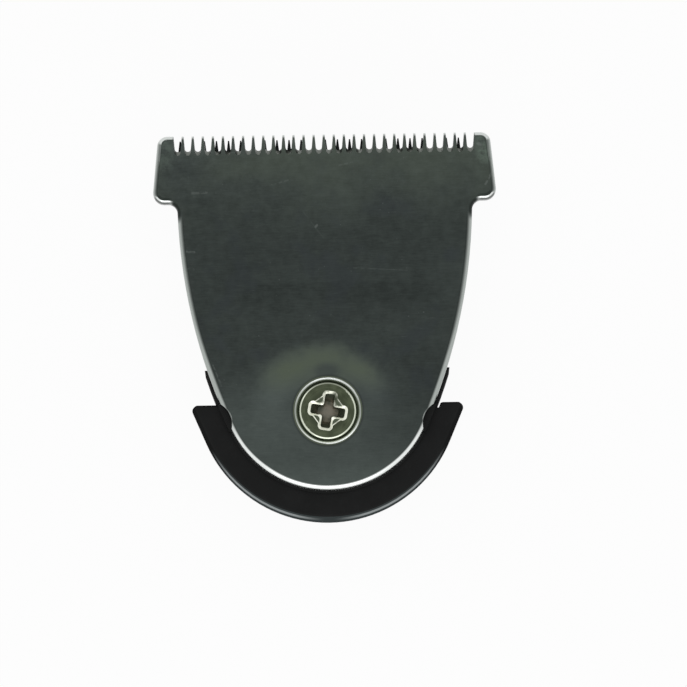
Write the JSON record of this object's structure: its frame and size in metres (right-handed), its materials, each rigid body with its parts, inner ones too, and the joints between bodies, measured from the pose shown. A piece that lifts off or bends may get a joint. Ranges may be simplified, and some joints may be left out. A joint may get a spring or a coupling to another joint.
{
  "type": "hair trimmer blade head",
  "caption": "T-shaped steel trimmer blade with a fine toothed edge, a toothed cutter that slides behind it, and a black moulded crescent base held by a countersunk cross-recess screw.",
  "frame": {"origin": "under the middle of the whole length and width, on the plane of the base's back rim, which the part lies on", "axes": "+X along the cutting edge, +Y towards the teeth, +Z out of the blade's outer face"},
  "size_m": [0.032, 0.036, 0.008],
  "materials": {
    "blade_steel": "dark satin face with bright rounded edges",
    "cutter_steel": "dark ground steel",
    "base_plastic": "fine moulded texture",
    "follower_plastic": "smooth moulded",
    "spring_wire": "drawn wire",
    "screw_steel": "plated"
  },
  "bodies": {
    "holder": {"fixed_blade": "blade_steel", "blade_base": "base_plastic", "tension_spring": "spring_wire", "base_screw": "screw_steel"},
    "cutter": {"moving_blade": "cutter_steel", "cam_follower": "follower_plastic"}
  },
  "joints": [
    {"name": "cutter_slide", "type": "slide", "parent": "holder", "child": "cutter", "axis": [1, 0, 0], "range_m": [-0.00058, 0.00142]}
  ]
}
